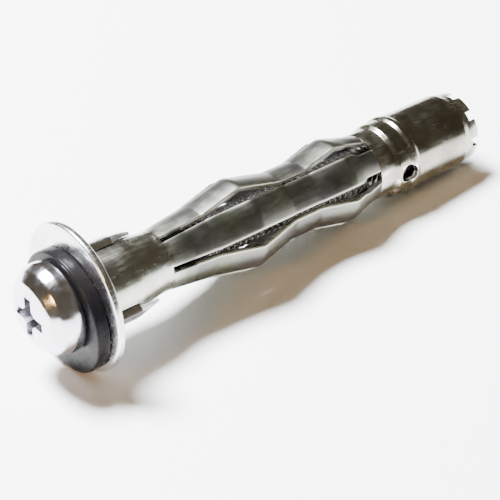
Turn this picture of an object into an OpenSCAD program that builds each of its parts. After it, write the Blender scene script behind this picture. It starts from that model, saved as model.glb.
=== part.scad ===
// Hollow-wall anchor with its pan-head screw, as it comes out of the box: the
// sleeve is straight, and its six legs have not been folded yet.
// +X runs into the wall, +Z is up, and the origin is the centre of the flange's
// wall-side face, which is the plane of the wall's surface.

/* [Screw] */
// Outer diameter of the thread
screw_d = 5; // [4.6:0.1:5]
// Distance from one thread crest to the next
pitch = 0.8; // [0.7:0.05:1]
// Depth of the thread's grooves
thread_depth = 0.42; // [0.2:0.02:0.5]
// Where the screw's tip lies, counted from the wall's surface
screw_tip_x = 52.6; // [50:0.1:53.4]
// Diameter of the pan head
head_d = 10; // [9:0.1:11]
// Height of the pan head
head_h = 3.8; // [3.4:0.1:4.2]
// Height of the head's straight rim, below its dome
head_rim_h = 1.5; // [1:0.1:2]
// Span of the cross recess, from tip to tip
recess_span = 5.2; // [4.6:0.1:5.6]
// Width of one arm of the cross recess
recess_arm = 1.15; // [0.9:0.05:1.3]
// Depth of the cross recess
recess_depth = 2.6; // [2:0.1:2.8]

/* [Washer] */
// Outer diameter of the washer
washer_d = 13.4; // [12:0.1:13.8]
// Thickness of the washer
washer_t = 1.5; // [1:0.05:1.6]
// Diameter of the washer's hole, which lets it hang low on the screw
washer_hole_d = 7.4; // [6.4:0.1:7.4]

/* [Flange] */
// Diameter of the flange
flange_d = 16.4; // [15:0.1:18]
// Thickness of the flange
flange_t = 0.8; // [0.6:0.05:1]
// Length of the two claws that bite into the wall
claw_l = 8; // [6:0.5:8]
// Width of a claw at the flange
claw_w = 4.2; // [3:0.1:4.6]
// Thickness of a claw
claw_t = 0.6; // [0.5:0.05:0.8]

/* [Sleeve] */
// Thickness of the sleeve's sheet metal
sheet_t = 0.65; // [0.5:0.05:0.65]
// Number of legs around the sleeve
leg_count = 6; // [6:1:6]
// Greatest width of a leg
leg_w = 3.6; // [2.6:0.1:3.6]
// Width of the slots between the legs, where they are close together
slot_w = 0.55; // [0.4:0.05:0.7]
// Direction of the first leg, in degrees from +Z towards -Y
leg_start_angle = 49; // [0:5:355]
// Outer radius of the collar tube at the flange
collar_r = 3.9; // [3.8:0.05:3.95]
// Outer radius of the sleeve's neck, behind the collar
neck_r = 3.4; // [3.4:0.05:3.5]
// Distance of the neck from the wall's surface
neck_x = 8.9; // [8.8:0.1:10]
// Radius at which the legs bend between their crests
valley_r = 4; // [3.9:0.05:4]
// Radius of the front crest
front_crest_r = 5.3; // [5:0.1:5.6]
// Radius of the rear crest
rear_crest_r = 5.1; // [4.8:0.1:5.4]
// Where the legs' first bend lies
front_start_x = 15; // [13.5:0.1:16]
// Distance from a bend to the front crest
front_run = 5.4; // [4.6:0.1:5.6]
// Length of the straight stretch between the two folds
bridge_l = 3.6; // [3:0.1:4.4]
// Distance from a bend to the rear crest
rear_run = 4.5; // [4:0.1:4.8]
// Gap between two strips at a bend
bend_gap = 0.03; // [0.02:0.01:0.05]

/* [Nut end] */
// Outer radius of the shell around the nut
shell_r = 4.5; // [4.45:0.05:4.6]
// Length of the shell
shell_l = 15.2; // [15:0.1:16]
// Thickness of the shell's wall
shell_t = 0.6; // [0.5:0.05:0.6]
// How far the ridge beside the nut stands out
ridge_h = 0.15; // [0.1:0.05:0.2]
// Radius of the band that holds the crimp holes
band_r = 4.4; // [4.3:0.05:4.4]
// Diameter of the punched crimp holes
crimp_hole_d = 2.2; // [1.4:0.1:2.2]
// Number of teeth around the shell's end
tooth_count = 8; // [6:1:10]
// Radial clearance of the nut around the thread
nut_clearance = 0.05; // [0.03:0.01:0.1]

/* [Hidden] */
$fn = 96;
over = 0.5;

screw_r = screw_d / 2;
root_r = screw_r - thread_depth;
head_x = -flange_t - washer_t;
head_dome_h = head_h - head_rim_h;
recess_foot_span = 2.4;
recess_foot_arm = 0.9;
crown_flat_r = 1.2;
dome_steps = 10;
washer_edge = 0.12;
tip_chamfer = 0.8;

// The washer rests on the thread's top, with a hair's clearance.
washer_drop = washer_hole_d / 2 - screw_r - 0.03;

front_crest_x = front_start_x + front_run;
bridge_x = front_crest_x + front_run;
rear_start_x = bridge_x + bridge_l;
rear_crest_x = rear_start_x + rear_run;
shell_x = rear_crest_x + rear_run;
shell_end_x = shell_x + shell_l;

claw_gap = 0.12;
claw_shoulder_x = 0.6 * claw_l;
claw_tip_drop = 0.35;
claw_point_w = 0.4;
claw_turn = 90;

nut_nose_x = shell_x + 2.8;
nut_x = shell_x + 5.6;
nut_end_x = shell_x + 12.8;
nut_nose_r = valley_r - shell_t - 0.08;
nut_r = shell_r - shell_t - 0.06;
nut_r_gap = 0.25;
crimp_x = shell_x + 3.9;
crimp_angle = 90;
tooth_gap_w = 1.1;
tooth_l = 0.9;
tooth_r = shell_r - 0.35;

// Each strip of a leg: its name, its two ends along X and their radii.
STRIPS = [
    ["front_rise", front_start_x, front_crest_x, valley_r, front_crest_r],
    ["front_fall", front_crest_x, bridge_x, front_crest_r, valley_r],
    ["bridge", bridge_x, rear_start_x, valley_r, valley_r],
    ["rear_rise", rear_start_x, rear_crest_x, valley_r, rear_crest_r],
    ["rear_fall", rear_crest_x, shell_x, rear_crest_r, valley_r],
];

function strip_node(leg, strip) = str("leg_", leg, "_", strip[0]);

// Turns an outline of [x, radius] points about the X axis.
module turned(outline) {
    rotate([0, 90, 0])
        rotate_extrude()
            polygon([for (p = outline) [p[1], p[0]]]);
}

// A tube wall of one thickness, inward from an outer outline.
module turned_wall(outer, thickness) {
    last = len(outer) - 1;
    inner = [for (i = [0:last]) [outer[last - i][0], outer[last - i][1] - thickness]];
    turned(concat(outer, inner));
}

// Turns its children, drawn on the +Z side, to an angle from +Z towards -Y.
module at_angle(angle) {
    rotate([angle, 0, 0])
        children();
}

// The space of one leg, on the +Z side, from one X to another. Its sides run
// along the slots near the axis, and are parallel further out.
module leg_space(x0, x1) {
    half_turn = 180 / leg_count;
    apex_z = slot_w / 2 / sin(half_turn);
    side_z = apex_z + leg_w / 2 / tan(half_turn);
    top_z = front_crest_r + over;
    translate([x0, 0, 0])
        rotate([90, 0, 90])
            linear_extrude(x1 - x0)
                polygon([
                    [0, apex_z],
                    [leg_w / 2, side_z],
                    [leg_w / 2, top_z],
                    [-leg_w / 2, top_z],
                    [-leg_w / 2, side_z]
                ]);
}

function leg_angle(leg) = leg_start_angle + (leg - 1) * 360 / leg_count;

// Half profile of the screw below its head: one groove for each turn.
function thread_points(x0, x1) = [
    for (i = [0:floor((x1 - x0) / pitch) - 1])
        for (p = [[0.06, screw_r], [0.4, root_r], [0.52, root_r], [0.86, screw_r]])
            [x0 + (i + p[0]) * pitch, p[1]]
];

function dome_points() = [
    for (i = [0:dome_steps])
        let (a = 90 * i / dome_steps)
            [head_x - head_rim_h - head_dome_h * sin(a),
             crown_flat_r + (head_d / 2 - crown_flat_r) * cos(a)]
];

module recess_arm_cut() {
    top_x = head_x - head_h - over;
    hull() {
        translate([top_x, -recess_span / 2, -recess_arm / 2])
            cube([over, recess_span, recess_arm]);
        translate([head_x - head_h + recess_depth - 0.01, -recess_foot_span / 2, -recess_foot_arm / 2])
            cube([0.01, recess_foot_span, recess_foot_arm]);
    }
}

module screw() {
    color("gainsboro")
        difference() {
            turned(concat(
                [[head_x - head_h, 0]],
                [for (i = [dome_steps:-1:0]) dome_points()[i]],
                [[head_x, head_d / 2], [head_x, root_r]],
                thread_points(head_x, screw_tip_x - tip_chamfer),
                [[screw_tip_x - tip_chamfer, root_r + 0.2], [screw_tip_x, root_r - 0.3], [screw_tip_x, 0]]
            ));
            recess_arm_cut();
            rotate([90, 0, 0])
                recess_arm_cut();
        }
}

module washer() {
    r = washer_d / 2;
    hole_r = washer_hole_d / 2;
    color([0.08, 0.08, 0.09])
        translate([0, 0, -washer_drop])
            turned([
                [-flange_t, hole_r],
                [-flange_t, r - washer_edge],
                [-flange_t - washer_edge, r],
                [-flange_t - washer_t + washer_edge, r],
                [-flange_t - washer_t, r - washer_edge],
                [-flange_t - washer_t, hole_r]
            ]);
}

// A claw is curved like the collar that it lies along, and its tip leans inward.
module claw() {
    outer_r = collar_r + claw_gap + claw_t;
    intersection() {
        turned_wall([
            [-flange_t / 2, outer_r],
            [claw_shoulder_x, outer_r],
            [claw_l, outer_r - claw_tip_drop]
        ], claw_t);
        at_angle(leg_start_angle + claw_turn)
            linear_extrude(outer_r + over)
                polygon([
                    [-flange_t / 2, -claw_w / 2],
                    [claw_shoulder_x, -claw_w / 2],
                    [claw_l, -claw_point_w / 2],
                    [claw_l, claw_point_w / 2],
                    [claw_shoulder_x, claw_w / 2],
                    [-flange_t / 2, claw_w / 2]
                ]);
    }
}

module flange_plate() {
    color("lightgray") {
        turned([
            [0, collar_r + 0.01],
            [0, flange_d / 2 - 0.15],
            [-0.15, flange_d / 2],
            [-flange_t + 0.2, flange_d / 2],
            [-flange_t, flange_d / 2 - 0.2],
            [-flange_t, collar_r + 0.01]
        ]);
        claw();
        rotate([180, 0, 0])
            claw();
    }
}

module collar_tube() {
    color([0.62, 0.62, 0.6])
        intersection() {
            turned_wall([
                [-flange_t, collar_r],
                [neck_x * 0.6, collar_r],
                [neck_x, neck_r],
                [neck_x + 0.8, neck_r],
                [front_start_x - bend_gap / 2, valley_r]
            ], sheet_t);
            union() {
                translate([-flange_t - over, -2 * collar_r, -2 * collar_r])
                    cube([neck_x + 0.4 + flange_t + over, 4 * collar_r, 4 * collar_r]);
                for (leg = [1:leg_count])
                    at_angle(leg_angle(leg))
                        leg_space(neck_x, front_start_x);
            }
        }
}

// One flat-sided strip of a leg, between two of its bends.
module leg_strip(leg, strip) {
    x0 = strip[1] + bend_gap / 2;
    x1 = strip[2] - bend_gap / 2;
    color([0.5, 0.5, 0.47])
        intersection() {
            turned_wall([[x0, strip[3]], [x1, strip[4]]], sheet_t);
            at_angle(leg_angle(leg))
                leg_space(strip[1], strip[2]);
        }
}

module nut_shell() {
    ridge_r = shell_r + ridge_h;
    color([0.42, 0.41, 0.4])
        difference() {
            turned_wall([
                [shell_x + bend_gap / 2, valley_r],
                [shell_x + 2.2, valley_r + 0.05],
                [shell_x + 2.6, band_r],
                [shell_x + 4.3, band_r],
                [shell_x + 4.6, ridge_r],
                [shell_x + 5.1, ridge_r],
                [shell_x + 5.5, shell_r],
                [shell_end_x - 2.2, shell_r],
                [shell_end_x - 1.4, tooth_r + 0.1],
                [shell_end_x, tooth_r]
            ], shell_t);
            for (side = [0, 180])
                at_angle(crimp_angle + side)
                    translate([crimp_x, 0, root_r])
                        cylinder(h = 2 * shell_r, d = crimp_hole_d);
            for (i = [0:tooth_count - 1])
                at_angle(i * 360 / tooth_count)
                    translate([shell_end_x - tooth_l, -tooth_gap_w / 2, screw_r])
                        cube([tooth_l + over, tooth_gap_w, shell_r]);
        }
}

module nut() {
    color("darkgray")
        turned([
            [nut_nose_x, screw_r + nut_clearance],
            [nut_nose_x, nut_nose_r],
            [nut_x, nut_nose_r],
            [nut_x + nut_r_gap, nut_r],
            [nut_end_x - nut_r_gap, nut_r],
            [nut_end_x, nut_r - nut_r_gap],
            [nut_end_x, screw_r + nut_clearance]
        ]);
}

screw();
washer();
flange_plate();
collar_tube();
nut_shell();
nut();
for (leg = [1:leg_count])
    for (strip = STRIPS)
        leg_strip(leg, strip);
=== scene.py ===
# %% [markdown]
# # A hollow-wall anchor
# The anchor is a slotted metal sleeve with a flange at one end and a nut at the other. A pan-head
# screw runs through it. Tightening the screw draws the nut end towards the flange, and the six legs
# of the sleeve fold outwards behind the wall. This lesson loads the engineering model, which fixes
# every size and joint, and builds the finished looks around it, piece by piece.

# %% Load the frame
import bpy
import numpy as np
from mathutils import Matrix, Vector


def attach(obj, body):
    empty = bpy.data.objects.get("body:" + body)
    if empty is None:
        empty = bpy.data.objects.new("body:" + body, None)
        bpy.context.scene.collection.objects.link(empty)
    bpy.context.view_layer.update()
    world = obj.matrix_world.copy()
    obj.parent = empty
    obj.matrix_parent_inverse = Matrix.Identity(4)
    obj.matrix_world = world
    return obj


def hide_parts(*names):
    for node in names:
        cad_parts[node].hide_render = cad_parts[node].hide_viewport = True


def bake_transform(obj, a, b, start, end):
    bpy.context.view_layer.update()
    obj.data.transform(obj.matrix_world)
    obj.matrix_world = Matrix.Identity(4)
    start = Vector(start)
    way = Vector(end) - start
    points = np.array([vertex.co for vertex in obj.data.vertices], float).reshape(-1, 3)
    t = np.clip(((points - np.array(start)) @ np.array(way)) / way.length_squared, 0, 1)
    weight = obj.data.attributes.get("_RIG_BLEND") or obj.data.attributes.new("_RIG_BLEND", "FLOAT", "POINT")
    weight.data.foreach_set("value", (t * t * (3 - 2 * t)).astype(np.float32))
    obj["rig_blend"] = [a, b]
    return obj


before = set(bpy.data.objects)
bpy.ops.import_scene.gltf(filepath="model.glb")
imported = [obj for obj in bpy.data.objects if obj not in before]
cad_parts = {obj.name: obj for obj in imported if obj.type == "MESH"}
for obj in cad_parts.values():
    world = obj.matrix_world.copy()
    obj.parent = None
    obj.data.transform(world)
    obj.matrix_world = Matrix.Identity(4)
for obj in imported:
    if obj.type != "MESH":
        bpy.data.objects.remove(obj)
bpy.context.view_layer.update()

import math

import bpy
from mathutils import Vector

mm = 0.001

# %% [markdown]
# ## Sizes
# All sizes are in millimetres and follow the engineering model. The sleeve's legs are described by
# one outline: the places along X where a leg bends, and its outer radius at each of them.

# %% Driving sizes
flange_t = 0.8
flange_r = 8.2
washer_t = 1.5
washer_r = 6.7
washer_hole_r = 3.7
washer_drop = 1.17
head_x = -flange_t - washer_t
head_r = 5.0
head_h = 3.8
screw_r = 2.5
thread_depth = 0.42
pitch = 0.8
screw_tip_x = 52.6
sheet_t = 0.65
leg_w = 3.6
slot_w = 0.55
leg_count = 6
leg_start = 49
collar_r = 3.9
neck_r = 3.4
neck_x = 8.9
shell_x = 38.4
shell_end_x = 53.6
shell_r = 4.5
shell_t = 0.6
shell_taper_x = shell_end_x - 2.2

# Bends of a leg: the joint's name, the place along X and the outer radius.
BENDS = [
    ("front_bend", 15.0, 4.0),
    ("front_crest", 20.4, 5.3),
    ("front_valley", 25.8, 4.0),
    ("rear_valley", 29.4, 4.0),
    ("rear_crest", 33.9, 5.1),
    ("shell_bend", shell_x, 4.0),
]
STRIPS = ["front_rise", "front_fall", "bridge", "rear_rise", "rear_fall"]
print("sleeve length:", shell_end_x, "mm")

# %% [markdown]
# ## Camera
# The camera looks along the anchor from the head's side and from above, with a long lens close up.
# Its direction is given by two angles, which say more to a reader than a turned camera's numbers do.

# %% Camera
def look(azimuth, elevation):
    """The direction from the object to a viewer at this azimuth and elevation."""
    a, e = math.radians(azimuth), math.radians(elevation)
    return Vector((math.sin(a) * math.cos(e), -math.cos(a) * math.cos(e), math.sin(e)))


view_azimuth = -39.3
view_elevation = 34.7
aim = Vector((22.46, 0, -4.24)) * mm
distance = 180 * mm
camera_data = bpy.data.cameras.new("camera")
camera_data.sensor_width = 36
camera_data.lens = 117.4
camera_data.clip_start = 0.005
camera = bpy.data.objects.new("camera", camera_data)
bpy.context.scene.collection.objects.link(camera)
camera.location = aim + look(view_azimuth, view_elevation) * distance
camera.rotation_euler = (math.radians(90 - view_elevation), 0, math.radians(view_azimuth))
bpy.context.scene.camera = camera
print("camera at", [round(v, 4) for v in camera.location])

# %% [markdown]
# ## Floor
# The anchor lies on a pale table. It rests on the flange's rim and on the nut end, so its axis is a
# few degrees off the table's surface, and the table is turned by that angle instead of the anchor.

# %% Floor
flange_low = Vector((0, -flange_r))
nut_end_low = Vector((shell_taper_x, -shell_r))
rise = nut_end_low - flange_low
tilt = math.atan2(rise.y, rise.x)
floor_gap = 0.05
bpy.ops.mesh.primitive_plane_add(size=3)
floor = bpy.context.object
floor.name = "floor"
floor.rotation_euler = (0, -tilt, 0)
floor.location = (flange_low.x * mm, 0, (flange_low.y - floor_gap) * mm)

floor_material = bpy.data.materials.new("pale_table")
floor_material.use_nodes = True
floor_shader = floor_material.node_tree.nodes["Principled BSDF"]
floor_shader.inputs["Base Color"].default_value = (0.95, 0.95, 0.94, 1)
floor_shader.inputs["Roughness"].default_value = 0.55
floor.data.materials.append(floor_material)
print("floor tilt:", round(math.degrees(tilt), 2), "degrees")

# %% [markdown]
# ## Light
# Bare metal shows little but its surroundings. A strong, slightly cool light from behind draws long
# highlights along the tube and throws the shadow forward. A weak warm light and dim warm
# surroundings fill the shadow and give the plating its olive darks.

# %% Lights
def area_light(name, azimuth, elevation, away, size, power, colour):
    data = bpy.data.lights.new(name, "AREA")
    data.shape = "DISK"
    data.size = size
    data.energy = power
    data.color = colour
    lamp = bpy.data.objects.new(name, data)
    bpy.context.scene.collection.objects.link(lamp)
    direction = look(azimuth, elevation)
    lamp.location = aim + direction * away
    lamp.rotation_euler = direction.to_track_quat("Z", "Y").to_euler()
    return lamp


area_light("key", azimuth=-155, elevation=62, away=0.45, size=0.16, power=19, colour=(0.94, 0.967, 1))
area_light("fill", azimuth=-75, elevation=28, away=0.6, size=0.15, power=1.4, colour=(1, 0.58, 0.22))
world = bpy.data.worlds.new("studio")
world.use_nodes = True
surroundings = world.node_tree.nodes["Background"]
surroundings.inputs["Color"].default_value = (1.0, 0.84, 0.54, 1)
surroundings.inputs["Strength"].default_value = 0.105
bpy.context.scene.world = world
print("lights:", [light.name for light in bpy.data.lights])

# %% [markdown]
# ## Finishes
# Everything except the washer is zinc-plated steel. Plating is never even: it has cloudy patches
# from its passivation bath, fine rubbing marks from the tumbler, and edges that are worn brighter.
# Each of these is a node group, so that every finish can use it with its own values. The helpers
# below make a group with named sockets, a node with its settings, and a mix of two colours.

# %% Node helpers
COLOUR, VALUE = "NodeSocketColor", "NodeSocketFloat"
MIX_FIRST, MIX_SECOND, MIX_RESULT = 6, 7, 2  # the Mix node's colour sockets


def new_group(name, inputs, outputs):
    tree = bpy.data.node_groups.new(name, "ShaderNodeTree")
    for label, kind, value in inputs:
        socket = tree.interface.new_socket(label, in_out="INPUT", socket_type=kind)
        socket.default_value = value
    for label, kind in outputs:
        tree.interface.new_socket(label, in_out="OUTPUT", socket_type=kind)
    return tree, tree.nodes.new("NodeGroupInput").outputs, tree.nodes.new("NodeGroupOutput").inputs


def add(tree, kind, feeds=None, **settings):
    """A node, its settings, and what feeds its inputs: a value, or another node's output."""
    node = tree.nodes.new(kind)
    for key, value in settings.items():
        setattr(node, key, value)
    for key, value in (feeds or {}).items():
        if isinstance(value, bpy.types.NodeSocket):
            tree.links.new(value, node.inputs[key])
        else:
            node.inputs[key].default_value = value
    return node


def mix_colours(tree, factor, first, second):
    feeds = {"Factor": factor, MIX_FIRST: first, MIX_SECOND: second}
    return add(tree, "ShaderNodeMix", feeds, data_type="RGBA").outputs[MIX_RESULT]


def multiply(tree, first, second):
    return add(tree, "ShaderNodeMath", {0: first, 1: second}, operation="MULTIPLY").outputs[0]


print("node helpers ready")

# %% [markdown]
# ### Plating clouds
# The passivation bath leaves soft patches of a second colour. A large noise, read on the piece's
# own coordinates, is stretched to full contrast and mixes the two colours.

# %% Plating clouds
clouds, given, result = new_group(
    "plating_clouds",
    [("Base", COLOUR, (0.6, 0.6, 0.6, 1)), ("Patch", COLOUR, (0.4, 0.4, 0.4, 1)),
     ("Scale", VALUE, 220.0), ("Amount", VALUE, 0.6)],
    [("Colour", COLOUR)],
)
place = add(clouds, "ShaderNodeTexCoord")
big = add(clouds, "ShaderNodeTexNoise", {
    "Vector": place.outputs["Object"], "Scale": given["Scale"], "Detail": 4.0, "Roughness": 0.6})
band = add(clouds, "ShaderNodeMapRange", {"Value": big.outputs["Fac"], "From Min": 0.38, "From Max": 0.64})
share = multiply(clouds, band.outputs["Result"], given["Amount"])
clouds.links.new(mix_colours(clouds, share, given["Base"], given["Patch"]), result["Colour"])
print("group:", clouds.name)

# %% [markdown]
# ### Rubbing marks
# Parts rub on each other in the plating barrel. A fine noise, stretched along X, gives short marks,
# and a coarser one makes them come and go. The marks change the roughness and feed a faint bump.

# %% Rubbing marks
marks, given, result = new_group(
    "rubbing_marks",
    [("Smooth", VALUE, 0.2), ("Rough", VALUE, 0.4), ("Along X", VALUE, 0.15), ("Scale", VALUE, 3000.0)],
    [("Roughness", VALUE), ("Height", VALUE)],
)
place = add(marks, "ShaderNodeTexCoord")
stretch = add(marks, "ShaderNodeCombineXYZ", {"X": given["Along X"], "Y": 1.0, "Z": 1.0})
lines = add(marks, "ShaderNodeVectorMath", {0: place.outputs["Object"], 1: stretch.outputs[0]},
            operation="MULTIPLY")
fine = add(marks, "ShaderNodeTexNoise", {
    "Vector": lines.outputs[0], "Scale": given["Scale"], "Detail": 3.0, "Roughness": 0.65})
soft = add(marks, "ShaderNodeTexNoise", {
    "Vector": place.outputs["Object"], "Scale": 450.0, "Detail": 2.0, "Roughness": 0.5})
both = multiply(marks, fine.outputs["Fac"], soft.outputs["Fac"])
rough = add(marks, "ShaderNodeMapRange", {
    "Value": both, "From Min": 0.12, "From Max": 0.42, "To Min": given["Smooth"], "To Max": given["Rough"]})
marks.links.new(rough.outputs["Result"], result["Roughness"])
marks.links.new(both, result["Height"])
print("group:", marks.name)

# %% [markdown]
# ### Worn edges and painted highlight
# Handling polishes the sharp edges first, and the brighter edge is also a painted highlight. Pointiness
# is high on an outer edge, and a noise breaks the line up, so that it doesn't look painted on.

# %% Worn edges and painted highlight
wear_and_sheen, given, result = new_group(
    "worn_edges_and_highlight",
    [("Colour", COLOUR, (0.5, 0.5, 0.5, 1)), ("Edge", COLOUR, (0.85, 0.84, 0.8, 1)),
     ("Start", VALUE, 0.51), ("End", VALUE, 0.58)],
    [("Colour", COLOUR)],
)
shape = add(wear_and_sheen, "ShaderNodeNewGeometry")
place = add(wear_and_sheen, "ShaderNodeTexCoord")
breakup = add(wear_and_sheen, "ShaderNodeTexNoise", {
    "Vector": place.outputs["Object"], "Scale": 900.0, "Detail": 2.0})
edge = add(wear_and_sheen, "ShaderNodeMapRange", {
    "Value": shape.outputs["Pointiness"], "From Min": given["Start"], "From Max": given["End"]})
part = add(wear_and_sheen, "ShaderNodeMapRange", {
    "Value": breakup.outputs["Fac"], "From Min": 0.3, "From Max": 0.6, "To Min": 0.35, "To Max": 1.0})
amount = multiply(wear_and_sheen, edge.outputs["Result"], part.outputs["Result"])
wear_and_sheen.links.new(mix_colours(wear_and_sheen, amount, given["Colour"], given["Edge"]), result["Colour"])
print("group:", wear_and_sheen.name)

# %% [markdown]
# ### Second tone
# Some parts are painted darker or brighter in one place: a painted shade inside the driver recess,
# and a painted highlight along a leg's sides. Pointiness can't tell these places from a cut end, so
# the mesh carries an attribute that says how much of the second tone each vertex shows, and the
# group mixes by it.

# %% Second tone
two_tones, given, result = new_group(
    "second_tone",
    [("Colour", COLOUR, (0.5, 0.5, 0.5, 1)), ("Edge", COLOUR, (0.85, 0.84, 0.8, 1)),
     ("Roughness", VALUE, 0.3), ("Change", VALUE, 0.0)],
    [("Colour", COLOUR), ("Roughness", VALUE)],
)
tone = add(two_tones, "ShaderNodeAttribute", attribute_name="second_tone").outputs["Fac"]
two_tones.links.new(mix_colours(two_tones, tone, given["Colour"], given["Edge"]), result["Colour"])
change = add(two_tones, "ShaderNodeMath", {0: tone, 1: given["Change"], 2: given["Roughness"]},
             operation="MULTIPLY_ADD")
two_tones.links.new(change.outputs[0], result["Roughness"])
print("group:", two_tones.name)

# %% [markdown]
# ### The zinc finishes
# The screw is bright, the flange is satin, and the sleeve gets darker from the collar to the nut
# end. One function puts the groups together, and each finish only gives its colours and roughness.

# %% Zinc finishes
def plated(name, base, patch, edge, smooth_to, rough_to, amount=0.7, bump=0.06, roughness_change=None):
    """Zinc plate. The edge colour marks worn edges, partly as a painted highlight. With a change of
    roughness given, the edge colour follows the second tone, which holds the recess's painted shade, the
    legs' painted highlight and the stubs' blend.
    """
    material = bpy.data.materials.new(name)
    material.use_nodes = True
    tree = material.node_tree
    shader = tree.nodes["Principled BSDF"]
    shader.inputs["Metallic"].default_value = 1.0
    colour = add(tree, "ShaderNodeGroup", {"Base": (*base, 1), "Patch": (*patch, 1), "Amount": amount},
                 node_tree=clouds).outputs["Colour"]
    rubbed = add(tree, "ShaderNodeGroup", {"Smooth": smooth_to, "Rough": rough_to}, node_tree=marks)
    roughness = rubbed.outputs["Roughness"]
    feeds = {"Colour": colour, "Edge": (*edge, 1)}
    if roughness_change is None:
        second_colour_node = add(tree, "ShaderNodeGroup", feeds, node_tree=wear_and_sheen)
    else:
        feeds.update({"Roughness": roughness, "Change": roughness_change})
        second_colour_node = add(tree, "ShaderNodeGroup", feeds, node_tree=two_tones)
        roughness = second_colour_node.outputs["Roughness"]
    relief = add(tree, "ShaderNodeBump", {
        "Strength": bump, "Distance": 0.0001, "Height": rubbed.outputs["Height"]})
    tree.links.new(second_colour_node.outputs["Colour"], shader.inputs["Base Color"])
    tree.links.new(roughness, shader.inputs["Roughness"])
    tree.links.new(relief.outputs["Normal"], shader.inputs["Normal"])
    return material


# The screw's near-black edge colour is the painted shade inside the driver recess.
bright_zinc = plated(
    "zinc_bright", base=(0.74, 0.73, 0.80), patch=(0.58, 0.57, 0.63), edge=(0.07, 0.07, 0.065),
    smooth_to=0.10, rough_to=0.24, roughness_change=0.3)
# The flange, shell and nut edge colours are brighter: worn edges and, in part, a painted highlight.
satin_zinc = plated(
    "zinc_satin", base=(0.74, 0.73, 0.78), patch=(0.52, 0.51, 0.54), edge=(0.92, 0.9, 0.86),
    smooth_to=0.16, rough_to=0.32)
sleeve_zinc = plated(
    "zinc_sleeve", base=(0.53, 0.53, 0.47), patch=(0.40, 0.41, 0.355), edge=(0.19, 0.195, 0.165),
    smooth_to=0.16, rough_to=0.32, roughness_change=0.12)
# The legs' edge colour is a painted highlight, laid on their sides by the second tone.
leg_zinc = plated(
    "zinc_leg", base=(0.175, 0.185, 0.145), patch=(0.135, 0.12, 0.13), edge=(0.52, 0.51, 0.43),
    smooth_to=0.28, rough_to=0.42, amount=0.8, bump=0.04, roughness_change=-0.05)
shell_zinc = plated(
    "zinc_shell", base=(0.36, 0.35, 0.29), patch=(0.18, 0.16, 0.13), edge=(0.80, 0.78, 0.72),
    smooth_to=0.14, rough_to=0.30)
nut_steel = plated(
    "steel_nut", base=(0.42, 0.41, 0.40), patch=(0.25, 0.25, 0.25), edge=(0.7, 0.7, 0.68),
    smooth_to=0.25, rough_to=0.45)
print("zinc finishes:", [m.name for m in bpy.data.materials if m.name.startswith("zinc")])

# %% [markdown]
# ### The black washer's finish
# The washer is nearly black, with a thin gloss. It shares the clouds and the marks, but it isn't a
# metal, and its marks run in no direction.

# %% Black finish
black = bpy.data.materials.new("black_gloss")
black.use_nodes = True
black_shader = black.node_tree.nodes["Principled BSDF"]
black_shader.inputs["Specular IOR Level"].default_value = 0.06
black_shader.inputs["Coat Weight"].default_value = 0.03
black_shader.inputs["Coat Roughness"].default_value = 0.08
black_marks = add(black.node_tree, "ShaderNodeGroup", {"Smooth": 0.22, "Rough": 0.42, "Along X": 1.0},
                  node_tree=marks)
black_clouds = add(black.node_tree, "ShaderNodeGroup", {
    "Base": (0.006, 0.006, 0.008, 1), "Patch": (0.014, 0.012, 0.010, 1), "Scale": 400.0}, node_tree=clouds)
black.node_tree.links.new(black_clouds.outputs["Colour"], black_shader.inputs["Base Color"])
black.node_tree.links.new(black_marks.outputs["Roughness"], black_shader.inputs["Roughness"])


def finish_piece(obj, material):
    obj.data.materials.clear()
    obj.data.materials.append(material)


print("black finish:", black.name)

# %% [markdown]
# ## Helpers for modelling
# Most of these wrap one operator. An operator acts on all that is selected, so each of them first
# selects its own object alone. Place, turn and scale are always applied, because a finished piece
# keeps its place in its mesh.

# %% Selecting and applying
def select_only(obj):
    if bpy.context.mode != "OBJECT":
        bpy.ops.object.mode_set(mode="OBJECT")
    bpy.ops.object.select_all(action="DESELECT")
    obj.select_set(True)
    bpy.context.view_layer.objects.active = obj


def apply_place(obj):
    select_only(obj)
    bpy.ops.object.transform_apply(location=True, rotation=True, scale=True)


def apply_modifiers(obj):
    select_only(obj)
    for modifier in list(obj.modifiers):
        bpy.ops.object.modifier_apply(modifier=modifier.name)


def pick(obj, parts, test):
    """Leaves edit mode on, with only those vertices, edges or faces selected that pass the test."""
    select_only(obj)
    bpy.ops.object.mode_set(mode="EDIT")
    bpy.ops.mesh.select_mode(type={"vertices": "VERT", "edges": "EDGE", "polygons": "FACE"}[parts])
    bpy.ops.mesh.select_all(action="DESELECT")
    bpy.ops.object.mode_set(mode="OBJECT")
    for element in getattr(obj.data, parts):
        element.select = test(element)
    bpy.ops.object.mode_set(mode="EDIT")


def tidy_mesh(obj, distance=0.002):
    """Merges doubled vertices and then points all faces outwards."""
    select_only(obj)
    bpy.ops.object.mode_set(mode="EDIT")
    bpy.ops.mesh.select_all(action="SELECT")
    bpy.ops.mesh.remove_doubles(threshold=distance * mm)
    bpy.ops.mesh.normals_make_consistent(inside=False)
    bpy.ops.object.mode_set(mode="OBJECT")


print("selection helpers ready")

# %% [markdown]
# ### Cutting, rounding and joining
# Real edges are never sharp, so after the cuts each piece gets a small Bevel, and its faces are
# shaded smooth up to an angle.

# %% Cutting, rounding and joining
def cut(obj, cutter, operation="DIFFERENCE"):
    modifier = obj.modifiers.new("cut", "BOOLEAN")
    modifier.operation = operation
    modifier.solver = "EXACT"
    modifier.object = cutter
    apply_modifiers(obj)
    bpy.data.objects.remove(cutter)


def round_edges(obj, width, segments, angle):
    modifier = obj.modifiers.new("round", "BEVEL")
    modifier.width = width * mm
    modifier.segments = segments
    modifier.limit_method = "ANGLE"
    modifier.angle_limit = math.radians(angle)
    modifier.use_clamp_overlap = True
    apply_modifiers(obj)


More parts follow.
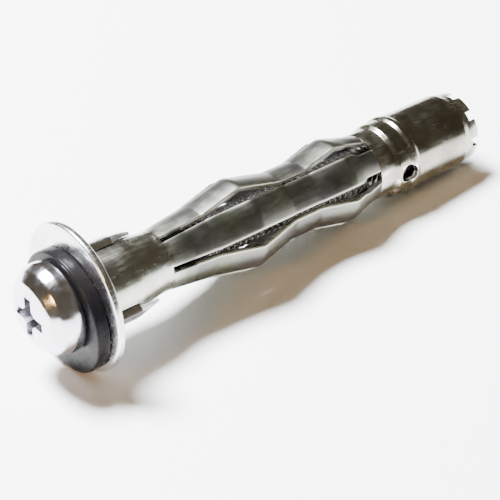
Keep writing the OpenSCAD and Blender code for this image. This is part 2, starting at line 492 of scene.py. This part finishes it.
def smooth(obj, angle):
    select_only(obj)
    bpy.ops.object.shade_smooth_by_angle(angle=math.radians(angle))


def join(name, pieces):
    select_only(pieces[0])
    for piece in pieces[1:]:
        piece.select_set(True)
    bpy.ops.object.join()
    pieces[0].name = name
    pieces[0].data.name = name
    return pieces[0]


print("cutting helpers ready")

# %% [markdown]
# ### Round parts
# Round parts are made as a potter would: a circle is added, and its ring of edges is extruded from
# station to station and resized to each radius. This keeps clean rings of quads, which take a bevel
# and a smooth shade well. The outline's corners are turned into short arcs first.

# %% Round parts
def rounded(points, radius, steps):
    """An open outline of (x, r) points, with each inner corner turned into an arc."""
    longest_share = 0.45
    straight = 0.02
    out = [points[0]]
    for before, corner, after in zip(points, points[1:], points[2:]):
        c = Vector(corner)
        a = Vector(before) - c
        b = Vector(after) - c
        turn = math.pi - a.angle(b)
        if turn < straight:
            out.append(corner)
            continue
        reach = min(radius * math.tan(turn / 2), longest_share * a.length, longest_share * b.length)
        for i in range(steps + 1):
            t = i / steps
            p = (1 - t) ** 2 * (c + a.normalized() * reach) + 2 * t * (1 - t) * c
            p += t ** 2 * (c + b.normalized() * reach)
            out.append((p.x, p.y))
    out.append(points[-1])
    return out


def ring(name, x, r, segments):
    bpy.ops.mesh.primitive_circle_add(
        vertices=segments, radius=r * mm, location=(x * mm, 0, 0), rotation=(0, math.pi / 2, 0))
    obj = bpy.context.object
    obj.name = name
    apply_place(obj)
    return obj


def turned(name, outline, segments, closed=True):
    """Rings of edges extruded along X through an outline of (x, r) points. A closed outline comes
    back to its first point. An open one has both of its ends filled."""
    x, r = outline[0]
    obj = ring(name, x, r, segments)
    bpy.ops.object.mode_set(mode="EDIT")
    bpy.ops.mesh.select_all(action="SELECT")
    for next_x, next_r in outline[1:]:
        bpy.ops.mesh.extrude_region_move(TRANSFORM_OT_translate={"value": ((next_x - x) * mm, 0, 0)})
        scale = next_r / r
        bpy.ops.transform.resize(value=(1, scale, scale), center_override=(next_x * mm, 0, 0))
        x, r = next_x, next_r
    if not closed:
        bpy.ops.mesh.edge_face_add()
        pick(obj, "vertices", lambda v: v.index < segments)
        bpy.ops.mesh.edge_face_add()
    bpy.ops.object.mode_set(mode="OBJECT")
    tidy_mesh(obj)
    return obj


print("round parts ready")

# %% [markdown]
# ## Screw
# A real machine screw has a cold-formed pan head with a driver recess and a rolled thread. The head
# is turned from an outline, and its rim gets a small bevel.

# %% Pan head
face_x = head_x - head_h
crown_r = 2.2
rim_h = 1.4
dome = [(face_x, crown_r), (head_x - 3.45, 3.6), (head_x - 2.5, 4.6), (head_x - rim_h, head_r),
        (head_x, head_r), (head_x, crown_r)]
head = turned("screw_head", rounded(dome, 1.1, 6), 96, closed=False)
round_edges(head, width=0.12, segments=3, angle=40)
print("head faces:", len(head.data.polygons))

# %% [markdown]
# ### Cross recess
# The recess is punched: two crossed bars that get narrower and shorter towards the bottom, and a
# small cone in the middle. Its walls carry the second tone: a painted shade that darkens them deeper
# in, and a higher roughness.

# %% Cross recess
recess_span = 5.2
recess_w = 1.16
recess_depth = 2.6
foot_span_share = 0.46
foot_w_share = 0.8
cone_depth = 2.8
cone_r = 1.2
cone_foot_r = 0.6
recess_shade_fade = 1.2


def box(name, low, high):
    """A block between two corners, in millimetres."""
    size = [(b - a) * mm for a, b in zip(low, high)]
    middle = [(a + b) / 2 * mm for a, b in zip(low, high)]
    bpy.ops.mesh.primitive_cube_add(size=1, location=middle)
    obj = bpy.context.object
    obj.name = name
    obj.scale = size
    apply_place(obj)
    return obj


def turn_about_x(obj, degrees):
    obj.rotation_euler = (math.radians(degrees), 0, 0)
    apply_place(obj)
    return obj


def looks_along_x(face):
    return face.normal.x > 0.9


def recess_arm(name, turn):
    """One bar of the cross: a block whose inner end is narrower and shorter."""
    bottom = face_x + recess_depth
    arm = box(name, (face_x - 0.5, -recess_span / 2, -recess_w / 2), (bottom, recess_span / 2, recess_w / 2))
    pick(arm, "polygons", looks_along_x)
    bpy.ops.transform.resize(value=(1, foot_span_share, foot_w_share), center_override=(bottom * mm, 0, 0))
    bpy.ops.object.mode_set(mode="OBJECT")
    return turn_about_x(arm, turn)


def set_tone(obj, amount_at):
    """Writes how much of the second tone each vertex shows, worked out from its place."""
    layers = obj.data.attributes
    layer = layers.get("second_tone") or layers.new("second_tone", "FLOAT", "POINT")
    for vertex in obj.data.vertices:
        layer.data[vertex.index].value = min(1, max(0, amount_at(vertex.co / mm)))


# Painted shade: the recess is painted darker the deeper it goes.
def recess_painted_shade(point):
    in_recess = math.hypot(point.y, point.z) < recess_span / 2 + 0.1 and point.x < head_x - 0.8
    return (point.x - face_x) / recess_shade_fade if in_recess else 0


for number, turn in enumerate((0, 90)):
    cut(head, recess_arm(f"recess_{number}", turn))
cone_x0 = face_x - 0.3
cone_x1 = face_x + cone_depth
bpy.ops.mesh.primitive_cone_add(
    vertices=32, radius1=cone_r * mm, radius2=cone_foot_r * mm, depth=(cone_x1 - cone_x0) * mm,
    location=((cone_x0 + cone_x1) / 2 * mm, 0, 0), rotation=(0, math.pi / 2, 0))
cone = bpy.context.object
apply_place(cone)
cut(head, cone)
tidy_mesh(head)
set_tone(head, recess_painted_shade)
print("head faces with the recess:", len(head.data.polygons))

# %% [markdown]
# ### Thread
# A rolled thread is one groove wound around the blank. A single edge, as long as one pitch, is
# shaped into the groove's profile, and the Screw modifier winds it into a true helix.

# %% Thread
GROOVE = [0, 0, 0.5, 1, 1, 1, 0.5, 0]
spare_l = 1.5
bpy.ops.mesh.primitive_plane_add(
    size=pitch * mm, location=(0, 0, screw_r * mm), rotation=(math.pi / 2, 0, 0))
thread = bpy.context.object
apply_place(thread)
pick(thread, "vertices", lambda v: v.co.z > screw_r * mm)
bpy.ops.mesh.delete(type="VERT")
bpy.ops.mesh.select_all(action="SELECT")
bpy.ops.mesh.subdivide(number_cuts=len(GROOVE) - 1)
bpy.ops.object.mode_set(mode="OBJECT")
for vertex in thread.data.vertices:
    step = round((vertex.co.x / mm / pitch + 0.5) * len(GROOVE)) % len(GROOVE)
    vertex.co.z = (screw_r - thread_depth * GROOVE[step]) * mm
    vertex.co.x += (head_x - spare_l) * mm
wind = thread.modifiers.new("wind", "SCREW")
wind.axis = "X"
wind.screw_offset = pitch * mm
wind.iterations = math.ceil((screw_tip_x - head_x + 2 * spare_l) / pitch)
wind.steps = 36
wind.render_steps = 36
wind.use_merge_vertices = True
wind.merge_threshold = 1e-6
apply_modifiers(thread)
tidy_mesh(thread, 0.01)
print("thread faces:", len(thread.data.polygons))

# %% [markdown]
# ### Ends of the thread
# The helix is a little too long at both ends. It is sliced off flat inside the head and at the tip,
# and a turned ring cuts the lead-in chamfer that helps the screw find its nut.

# %% Ends of the thread
def slice_off(obj, x, keep_right):
    """Cuts a closed part with a plane across X and closes the cut."""
    select_only(obj)
    bpy.ops.object.mode_set(mode="EDIT")
    bpy.ops.mesh.select_all(action="SELECT")
    bpy.ops.mesh.bisect(
        plane_co=(x * mm, 0, 0), plane_no=(1, 0, 0), use_fill=True, threshold=1e-8,
        clear_inner=keep_right, clear_outer=not keep_right)
    bpy.ops.object.mode_set(mode="OBJECT")


slice_off(thread, head_x - 0.6, keep_right=True)
slice_off(thread, screw_tip_x, keep_right=False)
chamfer_x0 = screw_tip_x - 0.9
chamfer_x1 = screw_tip_x + 0.4
chamfer = turned("chamfer", [
    (chamfer_x1, 1.5), (chamfer_x0, screw_r + 0.2), (chamfer_x0, screw_r + 0.9),
    (chamfer_x1, screw_r + 0.9), (chamfer_x1, 1.5)], 64)
cut(thread, chamfer)
tidy_mesh(thread)
screw = join("machine_screw", [head, thread])
smooth(screw, angle=30)
finish_piece(screw, bright_zinc)
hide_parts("screw")
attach(screw, "screw")
print("screw faces:", len(screw.data.polygons))

# %% [markdown]
# ## Washer
# The washer is a plain stamped ring with slightly rounded rims. Its hole is wider than the screw, so
# it hangs low on the thread.

# %% Washer
washer_front = -flange_t - washer_t
washer_middle = -flange_t - washer_t / 2
washer = turned("loose_washer", rounded(
    [(washer_middle, washer_hole_r), (washer_front, washer_hole_r), (washer_front, washer_r),
     (-flange_t, washer_r), (-flange_t, washer_hole_r), (washer_middle, washer_hole_r)], 0.28, 4), 96)
washer.location.z = -washer_drop * mm
apply_place(washer)
smooth(washer, angle=50)
finish_piece(washer, black)
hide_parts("washer")
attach(washer, "washer")
print("washer faces:", len(washer.data.polygons))

# %% [markdown]
# ## Flange
# The flange is a stamped disc that stays on the room's side of the wall. It is turned like the
# washer, with a bore that is a hair wider than the collar tube.

# %% Flange disc
flange_bore = collar_r + 0.01
flange_middle = -flange_t / 2
flange = turned("clawed_flange", rounded(
    [(flange_middle, flange_bore), (-flange_t, flange_bore), (-flange_t, flange_r), (0, flange_r),
     (0, flange_bore), (flange_middle, flange_bore)], 0.3, 4), 128)
print("disc faces:", len(flange.data.polygons))

# %% [markdown]
# ### Claws
# Two claws are bent down from the disc towards the wall. A claw starts wide at its bend and ends in
# a point, so that it bites into the board and stops the sleeve from turning. It lies close around
# the collar, so it is cut out of a turned tube by a tapered blade, and so keeps the tube's curve.

# %% Claws
claw_t = 0.6
claw_l = 8
claw_w = 4.2
claw_inner = collar_r + 0.12
claw_outer = claw_inner + claw_t
claw_bend_x = 0.6 * claw_l
point_share = 0.1


def make_claw(name, turn):
    """A blade-shaped piece of a tube, whose point leans towards the collar."""
    outer = rounded(
        [(flange_middle, claw_outer), (claw_bend_x, claw_outer + 0.08), (claw_l, claw_outer - 0.65)], 4, 6)
    inner = rounded(
        [(claw_l, claw_inner - 0.4), (claw_bend_x, claw_inner), (flange_middle, claw_inner)], 4, 6)
    claw = turned(name, outer + inner + [outer[0]], 160)
    blade = box("blade", (-1, -claw_w / 2, 0), (claw_bend_x, claw_w / 2, 6))
    pick(blade, "polygons", looks_along_x)
    taper_l = claw_l + 0.1 - claw_bend_x
    bpy.ops.mesh.extrude_region_move(TRANSFORM_OT_translate={"value": (taper_l * mm, 0, 0)})
    bpy.ops.transform.resize(value=(1, point_share, 1), center_override=(claw_l * mm, 0, 0))
    bpy.ops.object.mode_set(mode="OBJECT")
    cut(claw, blade, "INTERSECT")
    tidy_mesh(claw, 0.005)
    round_edges(claw, width=0.16, segments=3, angle=40)
    return turn_about_x(claw, turn)


def claw_root(name, turn):
    """The small fillet where the claw bends out of the disc."""
    side = claw_w / 2 + 0.2
    root = box(name, (-0.3, -side, claw_inner - 0.5), (0.45, side, claw_outer + 0.4))
    round_edges(root, width=0.3, segments=4, angle=30)
    tube_space = turned("tube_space", [(-1, collar_r + 0.05), (1, collar_r + 0.05)], 96, closed=False)
    cut(root, tube_space)
    return turn_about_x(root, turn)


claws = []
for number, turn in enumerate((leg_start + 90, leg_start + 270)):
    claws += [make_claw(f"claw_{number}", turn), claw_root(f"claw_root_{number}", turn)]
flange = join("clawed_flange", [flange] + claws)
smooth(flange, angle=40)
finish_piece(flange, satin_zinc)
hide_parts("flange_plate")
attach(flange, "sleeve")
print("flange faces:", len(flange.data.polygons))

# %% [markdown]
# ## One leg
# The six legs are pressed from the same sheet as the tube, so a leg keeps the tube's curve across
# its width. The outline below says where a leg runs, how wide it is there, and how finely its
# straight stretches are divided, so that the metal can bend smoothly at a joint.

# %% Outline of a leg
leg_x0 = neck_x + 0.2
neck_end_x = neck_x + 0.8
narrow_x = shell_x - 3.4
narrow_reach = 1.2
narrow_by = 0.8
leg_line = [(leg_x0, neck_r), (neck_end_x, neck_r)] + [(x, r) for _, x, r in BENDS]
leg_line.append((shell_x + 0.25, BENDS[-1][2]))


def fine_steps(outline, spacing):
    """Adds points along the straight stretches, so that the sheet can bend smoothly."""
    out = [outline[0]]
    for a, b in zip(outline, outline[1:]):
        count = max(1, math.ceil(math.dist(a, b) / spacing))
        out += [(a[0] + (b[0] - a[0]) * i / count, a[1] + (b[1] - a[1]) * i / count)
                for i in range(1, count + 1)]
    return out


leg_outline = fine_steps(rounded(leg_line, 1.6, 6), 0.3)


def leg_radius(x):
    for a, b in zip(leg_outline, leg_outline[1:]):
        if x <= b[0]:
            return a[1] + (b[1] - a[1]) * max(0, x - a[0]) / (b[0] - a[0])
    return leg_outline[-1][1]


def leg_width(x, r):
    """A leg fills its sixth of the tube apart from the slot, and is narrower beside the shell."""
    sixth = 2 * r * math.sin(math.pi / leg_count - slot_w / 2 / r)
    along = min(1, max(0, (x - narrow_x) / narrow_reach))
    return min(leg_w, sixth) - narrow_by * along ** 2 * (3 - 2 * along)


print("leg outline points:", len(leg_outline))

# %% [markdown]
# ### Leg sheet
# An arc of edges is extruded along the outline and set to the leg's width at each step. Solidify
# gives the sheet its thickness and Bevel rounds its sides. The sides carry the second tone: a painted
# highlight that makes them brighter than the face.

# %% Leg sheet
arc_half = math.radians(25)
highlight_start = 0.84
highlight_fade = 0.14
leg = ring("leg", leg_outline[0][0], neck_r, 72)
pick(leg, "vertices", lambda v: v.co.z < neck_r * mm * math.cos(arc_half * 1.02))
bpy.ops.mesh.delete(type="VERT")
bpy.ops.mesh.select_all(action="SELECT")
width = 2 * neck_r * math.sin(arc_half)
for a, b in zip([leg_outline[0]] + leg_outline, leg_outline):
    if b != a:
        step = ((b[0] - a[0]) * mm, 0, (b[1] - a[1]) * mm)
        bpy.ops.mesh.extrude_region_move(TRANSFORM_OT_translate={"value": step})
    bpy.ops.transform.resize(value=(1, leg_width(*b) / width, 1), center_override=(0, 0, 0))
    width = leg_width(*b)
bpy.ops.mesh.select_all(action="SELECT")
bpy.ops.mesh.normals_make_consistent(inside=False)
bpy.ops.object.mode_set(mode="OBJECT")
upward = sum(face.normal.z for face in leg.data.polygons)
if upward < 0:
    bpy.ops.object.mode_set(mode="EDIT")
    bpy.ops.mesh.flip_normals()
    bpy.ops.object.mode_set(mode="OBJECT")
solid = leg.modifiers.new("thickness", "SOLIDIFY")
solid.thickness = sheet_t * mm
solid.offset = -1
solid.use_even_offset = True
apply_modifiers(leg)
round_edges(leg, width=0.13, segments=3, angle=50)
tidy_mesh(leg, 0.001)


# Painted highlight: the sheet is painted brighter towards both of its sides.
def side_painted_highlight(point):
    half_width = leg_width(point.x, leg_radius(point.x)) / 2
    return (abs(point.y) / half_width - highlight_start) / highlight_fade


set_tone(leg, side_painted_highlight)
print("leg faces:", len(leg.data.polygons))

# %% [markdown]
# ### Cut the leg into pieces
# The leg is cut in the middle of each strip, where it always stays straight. Each piece then holds
# one bend and can be bent by one joint. The first piece belongs to the collar. Smoothing comes after
# the cuts, so that the two sides of a cut are shaded alike.

# %% Pieces of a leg
def copy_of(obj, name):
    new = obj.copy()
    new.data = obj.data.copy()
    new.name = name
    new.data.name = name
    bpy.context.scene.collection.objects.link(new)
    return new


def leg_piece(name, low, high):
    piece = copy_of(leg, name)
    if low is not None:
        slice_off(piece, low, keep_right=True)
    if high is not None:
        slice_off(piece, high, keep_right=False)
    smooth(piece, angle=35)
    return piece


stations = [neck_end_x] + [x for _, x, _ in BENDS]
middles = [(a + b) / 2 for a, b in zip(stations, stations[1:])]
edges = [None] + middles + [None]
masters = [leg_piece(f"master_{i}", low, high) for i, (low, high) in enumerate(zip(edges, edges[1:]))]
print("pieces in a leg:", len(masters))

# %% [markdown]
# ## Collar
# The collar is the part of the sleeve that sits inside the wall. It is a tube that narrows to a
# neck, and the first stretch of each leg grows out of its end. A narrow butt seam shows that the
# tube was rolled from flat sheet, and a small bead holds the flange on it.

# %% Collar tube
seam_w = 0.12
seam_angle = leg_start + 210


def wall(outer, thickness):
    """The closed outline of a tube's wall: out along the outer line and back along the inner one."""
    inner = [(x, r - thickness) for x, r in reversed(outer)]
    return outer + inner + [outer[0]]


def cut_seam(obj, low, high, outer):
    cutter = box("seam", (low, -seam_w / 2, outer - 0.3), (high, seam_w / 2, outer + 2))
    cut(obj, turn_about_x(cutter, seam_angle))


collar_outline = rounded(
    [(-flange_t, collar_r), (neck_x * 0.6, collar_r), (neck_x, neck_r), (neck_x + 0.75, neck_r)], 3, 8)
tube = turned("collar", wall(collar_outline, sheet_t), 120)
round_edges(tube, width=0.12, segments=2, angle=50)
cut_seam(tube, 0.3, neck_x + 2, neck_r + 0.2)
bead_foot_r = collar_r - 0.1
bead = turned("bead", rounded(
    [(-0.1, bead_foot_r), (-0.1, collar_r + 0.32), (0.22, collar_r + 0.16), (0.5, bead_foot_r),
     (-0.1, bead_foot_r)], 0.12, 3), 96)
print("tube faces:", len(tube.data.polygons))

# %% [markdown]
# ### Stubs of the legs
# The first leg piece is copied around the neck and joined to the tube. Here the second tone runs
# along X instead, from the collar's colour to the legs', so that no step shows where they meet.

# %% Stubs of the legs
def stub_tone(point):
    return (point.x - neck_x - 0.4) / 2


leg_turns = [leg_start + i * 360 / leg_count for i in range(leg_count)]
set_tone(masters[0], stub_tone)
stubs = [turn_about_x(copy_of(masters[0], f"stub_{i}"), turn) for i, turn in enumerate(leg_turns)]
collar = join("collar", [tube, bead] + stubs)
smooth(collar, angle=35)
finish_piece(collar, sleeve_zinc)
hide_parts("collar_tube")
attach(collar, "sleeve")
print("collar faces:", len(collar.data.polygons))

# %% [markdown]
# ## All six legs
# Behind its stub each leg is six pieces, one for each bend. A piece is blended across its joint over
# a short stretch on both sides of the bend line, so the metal folds there and stays straight between
# the bends. Only leg 1 has a joint to the shell, so the last piece of the others rides its strip.

# %% Place the legs and join them to their bodies
bend_reach = 0.8


def body_chain(leg_number):
    strips = [f"leg_{leg_number}_{strip}" for strip in STRIPS]
    return ["sleeve"] + strips + ["nut_shell"]


for leg_number, turn in enumerate(leg_turns, 1):
    chain = body_chain(leg_number)
    for index, (bend, x, _) in enumerate(BENDS):
        piece = copy_of(masters[index + 1], f"leg_{leg_number}_{bend}_sheet")
        turn_about_x(piece, turn)
        finish_piece(piece, leg_zinc)
        before, after = chain[index], chain[index + 1]
        own_nodes = [node for node in (before, after) if node.startswith("leg_")]
        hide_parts(*own_nodes)
        if bend == "shell_bend" and leg_number > 1:
            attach(piece, before)
        else:
            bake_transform(piece, before, after,
                     start=((x - bend_reach) * mm, 0, 0), end=((x + bend_reach) * mm, 0, 0))
for master in masters + [leg]:
    bpy.data.objects.remove(master)
print("leg pieces:", leg_count * len(BENDS))

# %% [markdown]
# ## Shell
# The far end of the sleeve holds the nut. It was pressed down onto the nut, which leaves a step, a
# band with two punched crimps, a raised ridge beside the band, and a row of small teeth at the very
# end.

# %% Shell wall
ridge_r = shell_r + 0.15
band_r = 4.4
tooth_r = shell_r - 0.35
shell_line = [
    (shell_x + 0.02, 4.0), (shell_x + 2.2, 4.05), (shell_x + 2.6, band_r), (shell_x + 4.3, band_r),
    (shell_x + 4.6, ridge_r), (shell_x + 5.1, ridge_r), (shell_x + 5.5, shell_r),
    (shell_taper_x, shell_r), (shell_end_x - 1.4, tooth_r + 0.1), (shell_end_x, tooth_r)]
shell = turned("nut_shell_pressing", wall(rounded(shell_line, 0.4, 4), shell_t), 120)
print("shell wall faces:", len(shell.data.polygons))

# %% [markdown]
# ### Crimps and teeth
# The crimps are holes here, because the punch breaks through the thin sheet. Both they and the gaps
# between the teeth are cut first, and the bevel afterwards rounds every edge alike.

# %% Crimps and teeth
crimp_x = shell_x + 3.9
crimp_r = 1.1
tooth_count = 8
tooth_l = 0.9
tooth_gap_w = 1.1
for turn in (90, 270):
    bpy.ops.mesh.primitive_cylinder_add(
        vertices=40, radius=crimp_r * mm, depth=3 * mm, location=(crimp_x * mm, 0, 4 * mm))
    punch = bpy.context.object
    apply_place(punch)
    cut(shell, turn_about_x(punch, turn))
for i in range(tooth_count):
    notch = box("notch", (shell_end_x - tooth_l, -tooth_gap_w / 2, screw_r),
                (shell_end_x + 0.5, tooth_gap_w / 2, 6))
    cut(shell, turn_about_x(notch, i * 360 / tooth_count))
cut_seam(shell, shell_x + 0.5, shell_end_x + 1, shell_r - 0.1)
tidy_mesh(shell)
round_edges(shell, width=0.07, segments=2, angle=45)
smooth(shell, angle=35)
finish_piece(shell, shell_zinc)
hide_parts("nut_shell")
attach(shell, "nut_shell")
print("shell faces:", len(shell.data.polygons))

# %% [markdown]
# ## Nut
# The nut is a turned collar with a chamfer at each end and a threaded hole. It hardly shows, except
# from the far end, so its thread is a row of fine rings.

# %% Nut
nut_x0, nut_x1, nut_x2 = shell_x + 2.8, shell_x + 5.6, shell_x + 12.8
nose_r = 3.32
nut_r = 3.84
bore_r = screw_r + 0.05
groove_r = bore_r + 0.25
mouth_r = bore_r + 0.3
nut_outline = [(nut_x0, mouth_r), (nut_x0, nose_r), (nut_x1, nose_r), (nut_x1 + 0.25, nut_r),
               (nut_x2 - 0.25, nut_r), (nut_x2, 3.6), (nut_x2, mouth_r)]
rings = math.floor((nut_x2 - nut_x0 - 0.6) / pitch)
thread_rings = []
for i in range(rings):
    at = nut_x2 - 0.3 - i * pitch
    thread_rings += [(at, bore_r), (at - pitch / 2, groove_r)]
nut = turned("turned_nut", nut_outline + thread_rings + [nut_outline[0]], 72)
smooth(nut, angle=30)
finish_piece(nut, nut_steel)
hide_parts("nut")
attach(nut, "nut_shell")
print("rings in the nut:", rings)
